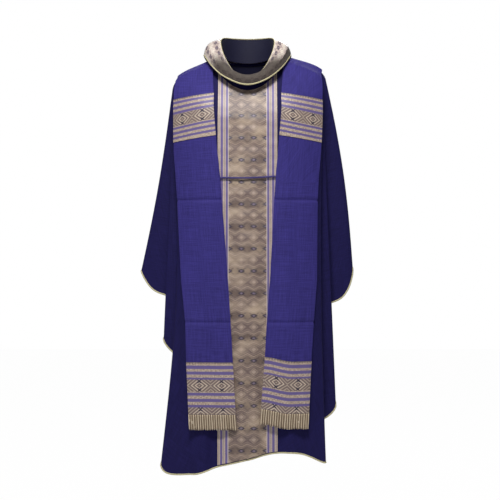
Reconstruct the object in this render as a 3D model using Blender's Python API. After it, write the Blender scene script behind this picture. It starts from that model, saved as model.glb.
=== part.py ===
"""Chasuble with a roll collar, worn with its matching overlay stole.

A full semi-conical garment hanging from the shoulders: front and back panels, side
drapes that hang in deep folds under the arms, a brocade roll collar, striped orphreys,
corded hems, and a stole tied across the chest. Metres, +Z up, the front faces -Y,
the origin is the middle of the neck opening at the shoulder line.
"""
import math

import bpy
import numpy as np
from mathutils import Vector
from mathutils.bvhtree import BVHTree

CLOTH = 0.0020          # thickness of the wool panels
TRIM = 0.0014           # thickness of sewn-on braid and bands
STOLE = 0.0024          # thickness of the lined stole
GAP = 0.0005            # air between two layers that touch
PIPING = 0.0028         # width of the corded edge
PIPING_GAP = 0.0046     # air between a hem and its corded edge
CORD_D = 0.0057         # tie cord
TURN = 0.25             # share of v where the cloth leaves the shoulder and hangs
HINGE_X = 0.232         # shoulder point, x
HINGE_Z = -0.050        # shoulder point, z
SIDE_CUT = 0.12         # half the seam between a panel and a side drape, in stations
STOLE_TURN_Z = -0.266   # where the stole front starts to swing
STOLE_TURN_Y = -0.146   # depth of that hinge line, just in front of the stole
TIE_Z = -0.374          # height of the tie cord
TAIL_Z = -0.386         # where each stole tail starts to swing
TAIL_Y = -0.1525        # depth of that hinge line
ORPHREY = 0.0600        # half the width of the orphrey brocade
BRAID = 0.0345          # width of the striped braid beside it
END_H = 0.162           # end band height
FRINGE_H = 0.048        # fringe length
FRINGE_STRANDS = 24
FRINGE_Y = {"left": -0.193, "right": -0.194}

# Each station: neck point, turning point at the shoulder, hem point, bow of the fold.
RIGHT = [
    ("centre", (0.000, -0.088, -0.058), (0.000, -0.135, -0.20), (0.000, -0.190, -1.262), 0.0),
    ("inner", (0.045, -0.078, -0.040), (0.090, -0.132, -0.19), (0.085, -0.190, -1.241), 0.0),
    ("outer", (0.080, -0.055, -0.008), (0.172, -0.112, -0.150), (0.170, -0.182, -1.244), 0.0),
    ("fold", (0.098, -0.030, 0.016), (0.246, -0.060, -0.085), (0.2465, -0.150, -1.275), -0.012),
    ("valley", (0.101, -0.022, 0.022), (0.220, -0.047, -0.080), (0.140, -0.105, -1.200), 0.0),
    ("second", (0.103, -0.015, 0.028), (0.243, -0.034, -0.070), (0.2846, -0.080, -1.097), 0.0),
    ("hollow", (0.105, -0.008, 0.032), (0.230, -0.020, -0.066), (0.150, -0.045, -0.840), 0.0),
    ("near", (0.1055, -0.004, 0.034), (0.248, -0.009, -0.053), (0.308, -0.022, -0.757), 0.008),
    ("wing", (0.106, 0.000, 0.035), (0.258, 0.000, -0.050), (0.347, 0.000, -0.660), 0.014),
]
LEFT = [
    ("centre", (0.000, -0.088, -0.058), (0.000, -0.135, -0.20), (0.000, -0.190, -1.262), 0.0),
    ("inner", (0.045, -0.078, -0.042), (0.090, -0.132, -0.19), (0.090, -0.188, -1.283), 0.0),
    ("outer", (0.080, -0.055, -0.014), (0.172, -0.112, -0.155), (0.1765, -0.182, -1.308), 0.0),
    ("fold", (0.098, -0.030, 0.007), (0.242, -0.060, -0.100), (0.272, -0.150, -1.2815), -0.030),
    ("valley", (0.101, -0.022, 0.012), (0.219, -0.047, -0.092), (0.140, -0.105, -1.050), 0.0),
    ("second", (0.103, -0.015, 0.016), (0.239, -0.034, -0.087), (0.2687, -0.080, -0.890), 0.0),
    ("hollow", (0.105, -0.008, 0.019), (0.227, -0.020, -0.084), (0.160, -0.045, -0.790), 0.0),
    ("near", (0.1055, -0.004, 0.021), (0.242, -0.009, -0.080), (0.303, -0.022, -0.735), -0.003),
    ("wing", (0.106, 0.000, 0.022), (0.246, 0.000, -0.076), (0.347, 0.000, -0.670), -0.006),
]
QUARTER = len(RIGHT) - 1        # stations from the front centre to the wing
RING = 4 * QUARTER              # stations round the whole garment

# Collar: roll line (top edge) and lower outer edge, from the front centre to the back.
ROLL = [(0.0, -0.098, -0.048), (0.046, -0.086, -0.026), (0.076, -0.056, 0.026),
        (0.088, -0.018, 0.074), (0.080, 0.026, 0.096), (0.045, 0.060, 0.100), (0.0, 0.070, 0.100)]
FALL = [(0.0, -0.134, -0.074), (0.066, -0.119, -0.052), (0.112, -0.082, -0.010),
        (0.141, -0.012, 0.037), (0.130, 0.056, 0.024), (0.074, 0.104, 0.002), (0.0, 0.119, -0.002)]
STAND = [(0.0, -0.080, -0.058), (0.040, -0.070, -0.038), (0.070, -0.046, 0.004),
         (0.088, -0.008, 0.030), (0.080, 0.036, 0.030), (0.046, 0.064, 0.024), (0.0, 0.074, 0.020)]

# Stole edges in front: height, inner edge, outer edge, on the wearer's two sides.
STOLE_RIGHT = [(-0.140, 0.109, 0.2372), (-0.266, 0.0985, 0.2325), (-0.374, 0.0890, 0.2245),
               (-0.445, 0.0850, 0.2210), (-0.700, 0.0716, 0.2178), (-0.833, 0.0620, 0.2070),
               (-0.954, 0.0560, 0.1990), (-1.154, 0.0410, 0.1890), (-1.22, 0.0400, 0.1880)]
STOLE_LEFT = [(-0.140, 0.109, 0.2337), (-0.266, 0.0985, 0.2330), (-0.374, 0.0870, 0.2260),
              (-0.445, 0.0820, 0.2210), (-0.700, 0.0620, 0.2083), (-0.833, 0.0530, 0.1956),
              (-0.954, 0.0460, 0.1924), (-1.170, 0.0330, 0.1830), (-1.23, 0.0320, 0.1820)]
# Over the shoulder and round the back of the neck: inner edge, outer edge.
STOLE_OVER = [((0.109, -0.112, -0.120), (0.236, -0.072, -0.130)),
              ((0.108, -0.080, -0.040), (0.241, -0.050, -0.055)),
              ((0.108, -0.040, 0.018), (0.241, -0.012, -0.012)),
              ((0.110, 0.010, 0.030), (0.236, 0.050, -0.030)),
              ((0.092, 0.058, 0.026), (0.190, 0.115, -0.040)),
              ((0.052, 0.082, 0.022), (0.105, 0.145, -0.075)),
              ((0.000, 0.090, 0.022), (0.000, 0.150, -0.095))]
STRIP_ROWS = (0.0, 0.012, 0.024, 0.037, 0.050, 0.065, 0.080, 0.10, 0.125, 0.16, 0.25, 0.4, 0.6, 0.8, 1.0)
END_TOP = {"left": -0.958, "right": -0.946}


def clear():
    """Remove every object already in the file."""
    for ob in list(bpy.data.objects):
        bpy.data.objects.remove(ob, do_unlink=True)


def paint(name, rgb, rough, metal=0.0):
    """A plain Principled material."""
    mat = bpy.data.materials.new(name)
    mat.use_nodes = True
    node = mat.node_tree.nodes["Principled BSDF"]
    node.inputs["Base Color"].default_value = (*rgb, 1.0)
    node.inputs["Roughness"].default_value = rough
    node.inputs["Metallic"].default_value = metal
    return mat


def station(row, side, back):
    """One station as a flat row of twelve numbers: neck, turn, hem, bow."""
    sx = -1.0 if side == "left" else 1.0
    sy = -1.0 if back else 1.0
    _, neck, turn, hem, bow = row
    neck = np.array(neck)
    turn = np.array(turn)
    hem = np.array(hem)
    if back:
        lift = math.cos(min(1.0, abs(turn[0]) / 0.24) * math.pi / 2)
        neck = neck + np.array((0.0, 0.004, 0.085)) * lift
        turn = turn + np.array((0.0, -0.004, 0.050)) * lift
    flip = np.array((sx, sy, 1.0))
    return np.concatenate([neck * flip, turn * flip, hem * flip, np.array((bow * sx, 0.0, 0.0))])


def ring():
    """All stations round the garment: front centre, right, back centre, left."""
    rows = [station(r, "right", False) for r in RIGHT]
    rows += [station(r, "right", True) for r in RIGHT[-2::-1]]
    rows += [station(r, "left", True) for r in LEFT[1:]]
    rows += [station(r, "left", False) for r in LEFT[-2:0:-1]]
    return np.array(rows)


def smooth(rows, t, closed=False):
    """Point at t on a smooth curve through the rows."""
    n = len(rows)
    i = int(math.floor(t))
    if not closed:
        i = max(0, min(n - 2, i))
    f = t - i
    pick = [(i + k) % n if closed else max(0, min(n - 1, i + k)) for k in (-1, 0, 1, 2)]
    a, b, c, d = (rows[k] for k in pick)
    return 0.5 * (2 * b + (c - a) * f + (2 * a - 5 * b + 4 * c - d) * f * f
                  + (3 * b - a - 3 * c + d) * f ** 3)


STATIONS = ring()


def drape(u, v):
    """Middle of the cloth: u counts stations round the garment, v runs neck to hem."""
    row = smooth(STATIONS, u % RING, closed=True)
    neck, turn, hem, bow = row[:3], row[3:6], row[6:9], row[9:12]
    down = hem - turn
    reach = np.linalg.norm(turn - neck)
    if v >= TURN:
        t = (v - TURN) / (1.0 - TURN)
        return turn + down * t + bow * math.sin(math.pi * t)
    t = v / TURN
    out = turn - neck
    out = out / np.linalg.norm(out)
    first = neck + out * 0.35 * reach
    second = turn - down / np.linalg.norm(down) * 0.34 * reach
    s = 1.0 - t
    return neck * s ** 3 + 3 * first * s * s * t + 3 * second * s * t * t + turn * t ** 3


def shell(name, points, quads, thick, mat, lift=0.0):
    """A closed sheet of even thickness about a quad surface, moved out by lift."""
    points = np.array(points, dtype=float)
    normal = np.zeros_like(points)
    for q in quads:
        p = points[list(q)]
        face = np.cross(p[2] - p[0], p[3] - p[1])
        for k in q:
            normal[k] += face
    normal /= np.maximum(np.linalg.norm(normal, axis=1), 1e-12)[:, None]
    outer = points + normal * (lift + thick / 2)
    inner = points + normal * (lift - thick / 2)
    n = len(points)
    faces = []
    for a, b, c, d in quads:
        if np.linalg.norm(points[a] - points[c]) <= np.linalg.norm(points[b] - points[d]) + 1e-7:
            faces += [(a, b, c), (a, c, d)]
        else:
            faces += [(a, b, d), (b, c, d)]
    faces += [tuple(k + n for k in reversed(f)) for f in faces]
    edges = {}
    for q in quads:
        for a, b in zip(q, q[1:] + q[:1]):
            edges[(a, b)] = True
    for a, b in edges:
        if (b, a) not in edges:
            faces.append((b, a, a + n, b + n))
    return mesh(name, np.vstack([outer, inner]), faces, mat)


def mesh(name, verts, faces, mat, smooth_shade=True):
    """A mesh object from vertices and faces."""
    me = bpy.data.meshes.new(name)
    me.from_pydata([tuple(float(c) for c in v) for v in verts], [], faces)
    me.update()
    for poly in me.polygons:
        poly.use_smooth = smooth_shade
    me.materials.append(mat)
    ob = bpy.data.objects.new(name, me)
    bpy.context.scene.collection.objects.link(ob)
    return ob


def grid(rows):
    """Vertices and quads of a rectangular grid of points."""
    nr, nc = len(rows), len(rows[0])
    points = [p for row in rows for p in row]
    quads = []
    for i in range(nr - 1):
        for j in range(nc - 1):
            a = i * nc + j
            quads.append((a, a + nc, a + nc + 1, a + 1))
    return points, quads


def loop_grid(rows):
    """Vertices and quads of a grid whose columns close into a ring."""
    nr, nc = len(rows), len(rows[0])
    points = [p for row in rows for p in row]
    quads = []
    for i in range(nr - 1):
        for j in range(nc):
            a, b = i * nc + j, i * nc + (j + 1) % nc
            quads.append((a, a + nc, b + nc, b))
    return points, quads


def hang_columns(middle):
    """Columns of the part of a panel that hangs free."""
    hang = 4.0 - SIDE_CUT
    return np.linspace(middle - hang, middle + hang, 35)


def side_columns(middle):
    """Columns of a side drape."""
    half = 4.0 - SIDE_CUT
    return np.linspace(middle - half, middle + half, 41)


def panel(name, middle, mat):
    """Front or back panel: over the shoulders all the way, hanging between the valleys."""
    edge = QUARTER - 0.10
    hang = 4.0 - SIDE_CUT
    us = list(hang_columns(0.0))
    side = list(np.linspace(hang, edge, 9))[1:]
    us = [-s for s in reversed(side)] + us + side
    vs = list(np.linspace(0.02, TURN, 6)) + list(np.linspace(TURN, 1.0, 10))[1:]
    rows = [[drape(middle + u, v) for u in us] for v in vs]
    points, quads = grid(rows)
    nc = len(us)
    first = len(side)
    kept = []
    for k, q in enumerate(quads):
        i, j = divmod(k, nc - 1)
        if i < 5 or first <= j < nc - 1 - first:
            kept.append(q)
    used = sorted({k for q in kept for k in q})
    where = {k: n for n, k in enumerate(used)}
    kept = [tuple(where[k] for k in q) for q in kept]
    return shell(name, [points[k] for k in used], kept, CLOTH, mat)


def side_drape(name, middle, mat):
    """The folds that hang from one shoulder, between the two panels."""
    us = side_columns(middle)
    vs = np.linspace(TURN + 0.008, 1.0, 8)
    points, quads = grid([[drape(u, v) for u in us] for v in vs])
    return shell(name, points, quads, CLOTH, mat)


def sweep(name, path, size, mat, downs=None, closed=False):
    """A square cord along a path; downs give the way it hangs from its edge at each point."""
    path = np.array(path)
    n = len(path)
    verts, faces = [], []
    for i in range(n):
        before = path[(i - 1) % n] if closed or i > 0 else path[i]
        after = path[(i + 1) % n] if closed or i < n - 1 else path[i]
        along = after - before
        along = along / np.linalg.norm(along)
        down = np.array(downs[i])
        side = np.cross(along, down)
        side = side / np.linalg.norm(side)
        for a, b in ((1, 0), (0, 1), (-1, 0), (0, -1)):
            verts.append(path[i] + side * a * size / 2 + down * b * size / 2)
    for i in range(n if closed else n - 1):
        j = (i + 1) % n
        for k in range(4):
            m = (k + 1) % 4
            faces.append((i * 4 + k, j * 4 + k, j * 4 + m, i * 4 + m))
    if not closed:
        faces += [(0, 1, 2, 3), tuple((n - 1) * 4 + k for k in (3, 2, 1, 0))]
    return mesh(name, verts, faces, mat)


def hem_piping(name, us, mat):
    """A corded edge just under a hem."""
    path, downs = [], []
    for u in us:
        p = drape(u, 1.0)
        along = drape(u + 0.02, 1.0) - drape(u - 0.02, 1.0)
        along = along / np.linalg.norm(along)
        down = p - drape(u, 0.97)
        down = down - along * float(np.dot(down, along))
        down = down / np.linalg.norm(down)
        path.append(p + down * (PIPING / 2 + PIPING_GAP))
        downs.append(down)
    return sweep(name, path, PIPING, mat, downs)


def base_tree(panels):
    """The skin of the panels, for laying trims on it."""
    points, faces = [], []
    for ob in panels:
        first = len(points)
        points += [v.co.copy() for v in ob.data.vertices]
        faces += [tuple(first + k for k in f.vertices) for f in ob.data.polygons]
    return BVHTree.FromPolygons(points, faces)


def front_hit(tree, x, z, back=False):
    """Where a line from straight in front or behind meets the panel, and its normal there."""
    start = Vector((x, 1.0 if back else -1.0, z))
    hit = tree.ray_cast(start, Vector((0, -1.0 if back else 1.0, 0)), 2.0)
    return hit[0], hit[1]


def front_y(tree, x, z, back=False):
    """Depth of the panel at one place."""
    return front_hit(tree, x, z, back)[0].y


def front_strip(name, tree, x0, x1, z0, z1, lift, thick, mat, cols=5, back=False):
    """A flat band sewn on the front or the back, between two edges."""
    out = []
    sign = 1.0 if back else -1.0
    for t in STRIP_ROWS:
        row = []
        for j in range(cols):
            s = j / (cols - 1)
            x = x0 + (x1 - x0) * s
            z = z0(x) + (z1(x) - z0(x)) * t
            at, normal = front_hit(tree, x, z, back)
            if normal.y * sign < 0:
                normal = -normal
            row.append(np.array(at + normal * lift))
        out.append(row if not back else row[::-1])
    points, quads = grid(out)
    return shell(name, points, quads, thick, mat)


def hem_z(tree, x, back=False):
    """Height of the hem at one x, found from the hem curve."""
    best = None
    for k in range(-60, 61):
        p = drape((16 if back else 0) + k * 0.05, 1.0)
        if best is None or abs(p[0] - x) < abs(best[0] - x):
            best = p
    return best[2]


def orphrey(tree, name, back, mats):
    """Brocade column with a striped braid on each side."""
    lift = 0.0018 + TRIM / 2
    top = 0.0 if back else -0.092
    x_in, x_out = ORPHREY, ORPHREY + BRAID
    low = {x: hem_z(tree, x, back) + 0.004 for x in (-x_out, -x_in, 0.0, x_in, x_out)}
    xs = sorted(low)

    def bottom(x):
        return float(np.interp(x, xs, [low[k] for k in xs]))

    def start(x):
        if back:
            return -0.016 - 0.25 * abs(x)
        return top + 0.06 * (abs(x) / x_out) ** 2

    front_strip(name, tree, -x_in + GAP, x_in - GAP, start, bottom, lift, TRIM, mats[0],
                cols=7, back=back)
    for side, sx in (("left", -1), ("right", 1)):
        a, b = sorted((sx * x_in, sx * x_out))
        front_strip(f"{name}_{side}_braid", tree, a, b, start, bottom, lift, TRIM, mats[1],
                    cols=3, back=back)


def collar(mats):
    """Roll collar, its lining and the piping on its lower edge."""
    def full(curve, t):
        rows = [np.array(p) for p in curve]
        rows += [np.array((-p[0], p[1], p[2])) for p in curve[-2:0:-1]]
        return smooth(np.array(rows), t, closed=True)
    count = 2 * (len(ROLL) - 1)
    ts = np.linspace(0, count, 36, endpoint=False)
    outer, inner = [], []
    for k in range(6):
        s = k / 5
        row = []
        for t in ts:
            top, low = full(ROLL, t), full(FALL, t)
            p = top + (low - top) * s
            out = np.array((low[0] - top[0], low[1] - top[1], 0.0))
            out = out / np.linalg.norm(out)
            row.append(p + (out * 0.45 + np.array((0, 0, 0.65))) * 0.022 * math.sin(math.pi * s) ** 0.8)
        outer.append(row)
    for k in range(5):
        s = k / 4
        row = []
        for t in ts:
            top, low = full(ROLL, t), full(STAND, t)
            p = low + (top - low) * s * 0.88
            row.append(p)
        inner.append(row)
    points, quads = loop_grid(outer)
    shell("roll_collar", points, quads, CLOTH, mats["brocade"])
    points, quads = loop_grid(inner[::-1])
    shell("collar_lining", points, quads, 0.0012, mats["lining"])
    edge, downs = [], []
    for a, b in zip(outer[-1], outer[-2]):
        down = (a - b) / np.linalg.norm(a - b)
        edge.append(a + down * (PIPING / 2 + GAP + 0.0003))
        downs.append(down)
    sweep("collar_piping", edge, PIPING, mats["gold"], downs, closed=True)


def neck_facing(mat):
    """Band of cloth inside the neck edge."""
    us = np.linspace(0, RING, 80, endpoint=False)
    rows = [[drape(u, v) for u in us] for v in (0.024, 0.045, 0.066)]
    points, quads = loop_grid(rows)
    return shell("neck_facing", points, quads, 0.0010, mat, lift=-(CLOTH / 2 + 0.0024))


def edges_at(table, side, z):
    """Inner and outer x of the stole at one height."""
    zs = [-r[0] for r in table]
    sx = -1.0 if side == "left" else 1.0
    inner = float(np.interp(-z, zs, [r[1] for r in table]))
    outer = float(np.interp(-z, zs, [r[2] for r in table]))
    return sx * inner, sx * outer


def slope_at(z):
    """How far a row of the stole drops from its inner to its outer edge."""
    return float(np.interp(-z, (-STOLE_TURN_Z, -TIE_Z), (-0.15, 0.0)))


def stole_row(tree, side, z, cols, lift):
    """A row of stole points in front of the panel, kept nearly flat across."""
    table = STOLE_LEFT if side == "left" else STOLE_RIGHT
    inner, outer = edges_at(table, side, z)
    xs = np.linspace(inner, outer, 9)
    zs = z + slope_at(z) * np.abs(xs - inner)
    ys = np.array([front_y(tree, x * 0.985, h) for x, h in zip(xs, zs)])
    fit = np.polyval(np.polyfit(xs, ys, 2), xs)
    fit = fit - max(0.0, float(np.max(fit - ys)))
    tangent = np.gradient(fit, xs)
    rows = []
    for t in np.linspace(0, 8, cols):
        x = float(np.interp(t, range(9), xs))
        y = float(np.interp(t, range(9), fit))
        h = float(np.interp(t, range(9), zs))
        k = float(np.interp(t, range(9), tangent))
        out = np.array((k, -1.0, 0.0)) / math.hypot(k, 1.0)
        rows.append(np.array((x, y, h)) + out * lift)
    return rows if side == "right" else rows[::-1]


def stole_part(name, tree, side, zs, thick, lift, mat, cols=5):
    """One length of the stole at the given heights."""
    points, quads = grid([stole_row(tree, side, z, cols, lift) for z in zs])
    return shell(name, points, quads, thick, mat)


def over_row(tree, inner, outer, cols, lift):
    """A row of stole points laid on the shoulder or the back of the neck."""
    row = []
    for s in np.linspace(0, 1, cols):
        p = Vector(inner).lerp(Vector(outer), s)
        away = (p - Vector((p.x * 0.5, 0.0, -0.15))).normalized()
        hit, _, _, _ = tree.find_nearest(p + away * 0.03)
        out = (p + away * 0.03 - hit).normalized()
        row.append(np.array(hit + out * lift))
    return row


def stole_shoulders(tree, mat):
    """From the chest over one shoulder, round the neck and down the other side."""
    lift = STOLE_LIFT
    chest = list(CHEST_ROWS)
    rows = [stole_row(tree, "right", z, 6, lift) for z in chest]
    keys = np.array([[*a, *b] for a, b in STOLE_OVER])
    fine = [smooth(keys, t) for t in np.linspace(1.0, len(keys) - 1, 20)]
    for k in fine:
        rows.append(over_row(tree, k[:3], k[3:], 6, lift + 0.0012))
    for k in fine[-2::-1]:
        a, b = k[:3] * (-1, 1, 1), k[3:] * (-1, 1, 1)
        rows.append(over_row(tree, a, b, 6, lift + 0.0012))
    rows += [stole_row(tree, "left", z, 6, lift)[::-1] for z in chest[::-1]]
    points, quads = grid([r[::-1] for r in rows])
    return shell("stole_shoulders", points, [tuple(q[::-1]) for q in quads], STOLE, mat)


STOLE_LIFT = 0.0018 + TRIM + 0.0010 + STOLE / 2 + 0.0010
BAND_LIFT = STOLE_LIFT + STOLE / 2 + 0.0015 + TRIM / 2
CHEST_ROWS = (STOLE_TURN_Z, -0.238, -0.215, -0.192, -0.169, -0.146, -0.123, -0.100, -0.086)


def fringe(name, tree, side, z0, mat):
    """A woven heading with strands hanging from it, as one comb."""
    head = 0.006
    n = FRINGE_STRANDS
    across = []
    for k in range(n):
        across += [(k + 0.10) / n, (k + 0.90) / n]
    top = np.array(stole_row(tree, side, z0, 9, BAND_LIFT - TRIM))
    low = np.array(stole_row(tree, side, z0 - FRINGE_H, 9, BAND_LIFT - TRIM))
    mid = np.linspace(0, 1, 9)
    levels = [0.0, head / FRINGE_H, 1.0]
    points = []
    for lev in levels:
        for s in across:
            row = top * (1 - lev) + low * lev
            points.append(np.array([np.interp(s, mid, row[:, c]) for c in range(3)]))
    m = len(across)
    quads = []
    for j in range(m - 1):
        quads.append((j, j + m, j + m + 1, j + 1))
    for k in range(n):
        j = 2 * k + m
        quads.append((j, j + m, j + m + 1, j + 1))
    return shell(name, points, quads, 0.0020, mat)


def tie_cord(tree, mat):
    """Twisted cord sewn between the inner edges of the stole."""
    left, _ = edges_at(STOLE_LEFT, "left", TIE_Z)
    right, _ = edges_at(STOLE_RIGHT, "right", TIE_Z)
    a, b = left + 0.0008, right - 0.0008
    n = 15
    curve = bpy.data.curves.new("tie_cord", "CURVE")
    curve.dimensions = "3D"
    curve.bevel_depth = CORD_D / 2
    curve.bevel_resolution = 3
    curve.use_fill_caps = True
    spline = curve.splines.new("POLY")
    spline.points.add(n - 1)
    for k in range(n):
        t = k / (n - 1)
        x = a + (b - a) * t
        z = TIE_Z + 0.004 * t - 0.003 * math.sin(math.pi * t)
        y = front_y(tree, x, z) - CLOTH / 2 - TRIM - 2 * GAP - CORD_D / 2 - 0.0012
        spline.points[k].co = (x, y, z, 1.0)
    curve.materials.append(mat)
    ob = bpy.data.objects.new("tie_cord", curve)
    bpy.context.scene.collection.objects.link(ob)
    return ob


def pivot(name, place, names):
    """An empty on a joint's axis that carries the pieces which move with it."""
    empty = bpy.data.objects.new(name, None)
    empty.location = place
    bpy.context.scene.collection.objects.link(empty)
    bpy.context.view_layer.update()
    for child in names:
        ob = bpy.data.objects[child]
        ob.parent = empty
        ob.matrix_parent_inverse = empty.matrix_world.inverted()
    return empty


def pivots():
    """Shoulder points, the chest line of the stole, and the tops of its tails and fringes."""
    for side, sx in (("left", -1), ("right", 1)):
        pivot(f"{side}_shoulder_pivot", (sx * HINGE_X, 0.0, HINGE_Z),
              [f"{side}_side_drape", f"{side}_side_piping"])
        pivot(f"{side}_tail_pivot", (0.0, TAIL_Y, TAIL_Z),
              [f"stole_{side}_tail", f"stole_{side}_end_band"])
        fringe_z = END_TOP[side] - END_H - 0.0004
        pivot(f"{side}_fringe_pivot", (0.0, FRINGE_Y[side], fringe_z), [f"stole_{side}_fringe"])
    pivot("stole_front_pivot", (0.0, STOLE_TURN_Y, STOLE_TURN_Z - 0.001),
          ["stole_left_middle", "stole_right_middle", "tie_cord"])


def build():
    """Make every piece of the garment."""
    clear()
    purple = paint("purple_wool", (0.035, 0.026, 0.155), 0.85)
    gold = paint("gold_cord", (0.62, 0.56, 0.36), 0.6)
    brocade = paint("collar_brocade", (0.55, 0.44, 0.42), 0.55)
    column = paint("orphrey_brocade", (0.30, 0.23, 0.22), 0.6)
    stripe = paint("striped_braid", (0.34, 0.24, 0.30), 0.6)
    band = paint("stole_band", (0.40, 0.32, 0.25), 0.6)
    strands = paint("gold_fringe", (0.45, 0.38, 0.22), 0.6)
    lining = paint("navy_lining", (0.012, 0.012, 0.035), 0.7)
    cord = paint("purple_cord", (0.020, 0.014, 0.080), 0.7)
    skins = [panel("front_panel", 0.0, purple), panel("back_panel", 16.0, purple)]
    skins.append(side_drape("right_side_drape", 8.0, purple))
    skins.append(side_drape("left_side_drape", 24.0, purple))
    tree = base_tree(skins)
    neck_facing(lining)
    collar({"brocade": brocade, "lining": lining, "gold": gold})
    orphrey(tree, "front_orphrey", False, (column, stripe))
    orphrey(tree, "back_orphrey", True, (column, stripe))
    hem_piping("front_hem_piping", hang_columns(0.0), gold)
    hem_piping("back_hem_piping", hang_columns(16.0), gold)
    hem_piping("right_side_piping", side_columns(8.0), gold)
    hem_piping("left_side_piping", side_columns(24.0), gold)
    stole_shoulders(tree, purple)
    for side in ("left", "right"):
        end = END_TOP[side]
        tail = list(np.linspace(TAIL_Z - 0.0015, end, 6)) + list(np.linspace(end, end - END_H, 4))[1:]
        stole_part(f"stole_{side}_middle", tree, side,
                   np.linspace(STOLE_TURN_Z - 0.0025, TAIL_Z + 0.0015, 4), STOLE, STOLE_LIFT, purple)
        stole_part(f"stole_{side}_tail", tree, side, tail, STOLE, STOLE_LIFT, purple)
        stole_part(f"stole_{side}_chest_band", tree, side, CHEST_ROWS[-2:0:-1],
                   TRIM, BAND_LIFT, band, cols=6)
        stole_part(f"stole_{side}_end_band", tree, side, tail[5:], TRIM, BAND_LIFT, band)
        fringe(f"stole_{side}_fringe", tree, side, end - END_H - 0.0012, strands)
    tie_cord(tree, cord)
    pivots()


build()
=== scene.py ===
"""The looks of the chasuble: draped wool, brocade, corded hems, the overlay stole and its fringe.

The drape is the same formula as in the CAD, on a finer grid and with soft folds added.
Metres, in the row frame.
"""
import math

import bpy
import numpy as np
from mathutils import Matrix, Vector
from mathutils.bvhtree import BVHTree


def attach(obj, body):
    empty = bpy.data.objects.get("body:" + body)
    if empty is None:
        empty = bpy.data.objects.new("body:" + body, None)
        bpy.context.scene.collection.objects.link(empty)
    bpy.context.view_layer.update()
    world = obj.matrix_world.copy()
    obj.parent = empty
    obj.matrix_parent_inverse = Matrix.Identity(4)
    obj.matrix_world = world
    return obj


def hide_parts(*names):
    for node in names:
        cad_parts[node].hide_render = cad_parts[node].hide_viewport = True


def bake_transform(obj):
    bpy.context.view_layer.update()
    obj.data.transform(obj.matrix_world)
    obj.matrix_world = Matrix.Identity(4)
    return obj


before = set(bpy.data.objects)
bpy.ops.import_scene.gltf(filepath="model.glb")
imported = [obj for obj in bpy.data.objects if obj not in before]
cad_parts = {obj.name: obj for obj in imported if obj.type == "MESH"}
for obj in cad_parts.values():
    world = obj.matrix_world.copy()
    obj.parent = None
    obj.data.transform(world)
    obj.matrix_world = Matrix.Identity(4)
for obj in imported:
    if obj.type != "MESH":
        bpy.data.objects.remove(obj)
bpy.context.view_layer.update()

TURN = 0.25             # share of v where the cloth leaves the shoulder and hangs
CLOTH = 0.0014          # wool
TRIM = 0.0012           # braid and bands
STOLE = 0.0020          # lined stole
CORD_D = 0.0057         # tie cord
PIPING_D = 0.0052       # corded edge
ORPHREY = 0.0600        # half the width of the brocade column
BRAID = 0.0345          # width of the striped braid beside it
END_H = 0.162           # end band height
FRINGE_H = 0.048        # fringe length
STOLE_TURN_Z = -0.267   # where the stole front swings
TAIL_Z = -0.386         # where the stole tails swing
TIE_Z = -0.374          # height of the tie cord
CHEST_TOP = -0.100      # top of the chest bands at the inner edge
CHEST_H = 0.138         # their height
END_TOP = {"left": -0.958, "right": -0.946}
SIDES = {"left": -1.0, "right": 1.0}

# Each station: neck point, turning point at the shoulder, hem point, bow of the fold.
RIGHT = [
    ((0.000, -0.088, -0.058), (0.000, -0.135, -0.20), (0.000, -0.190, -1.262), 0.0),
    ((0.045, -0.078, -0.040), (0.090, -0.132, -0.19), (0.085, -0.190, -1.241), 0.0),
    ((0.080, -0.055, -0.008), (0.172, -0.112, -0.150), (0.170, -0.182, -1.244), 0.0),
    ((0.098, -0.030, 0.016), (0.246, -0.060, -0.085), (0.2465, -0.150, -1.275), -0.012),
    ((0.101, -0.022, 0.022), (0.220, -0.047, -0.080), (0.140, -0.105, -1.200), 0.0),
    ((0.103, -0.015, 0.028), (0.243, -0.034, -0.070), (0.2846, -0.080, -1.097), 0.0),
    ((0.105, -0.008, 0.032), (0.230, -0.020, -0.066), (0.150, -0.045, -0.840), 0.0),
    ((0.1055, -0.004, 0.034), (0.248, -0.009, -0.053), (0.308, -0.022, -0.757), 0.008),
    ((0.106, 0.000, 0.035), (0.258, 0.000, -0.050), (0.347, 0.000, -0.660), 0.014),
]
LEFT = [
    ((0.000, -0.088, -0.058), (0.000, -0.135, -0.20), (0.000, -0.190, -1.262), 0.0),
    ((0.045, -0.078, -0.042), (0.090, -0.132, -0.19), (0.090, -0.188, -1.283), 0.0),
    ((0.080, -0.055, -0.014), (0.172, -0.112, -0.155), (0.1765, -0.182, -1.308), 0.0),
    ((0.098, -0.030, 0.007), (0.242, -0.060, -0.100), (0.272, -0.150, -1.2815), -0.030),
    ((0.101, -0.022, 0.012), (0.219, -0.047, -0.092), (0.140, -0.105, -1.050), 0.0),
    ((0.103, -0.015, 0.016), (0.239, -0.034, -0.087), (0.2687, -0.080, -0.890), 0.0),
    ((0.105, -0.008, 0.019), (0.227, -0.020, -0.084), (0.160, -0.045, -0.790), 0.0),
    ((0.1055, -0.004, 0.021), (0.242, -0.009, -0.080), (0.303, -0.022, -0.735), -0.003),
    ((0.106, 0.000, 0.022), (0.246, 0.000, -0.076), (0.347, 0.000, -0.670), -0.006),
]
RING = 32               # stations round the whole garment
QUARTER = RING // 4     # stations in one quarter of the cloth
OVERLAP = 0.03          # how far, in stations, neighbours overlap in the side seam
SEWN_GAP = 0.0006       # between a trim and the cloth it is sewn to
FLOOR_Z = -1.62
STOLE_COLUMNS = 33      # grid columns across the stole
STRANDS = 62            # in each fringe
STRAND_SIDES = 6
STRAND_LEVELS = 9
YOKE_BEND = (-0.262, -0.330)    # heights between which the stole bends over the front swing

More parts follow.
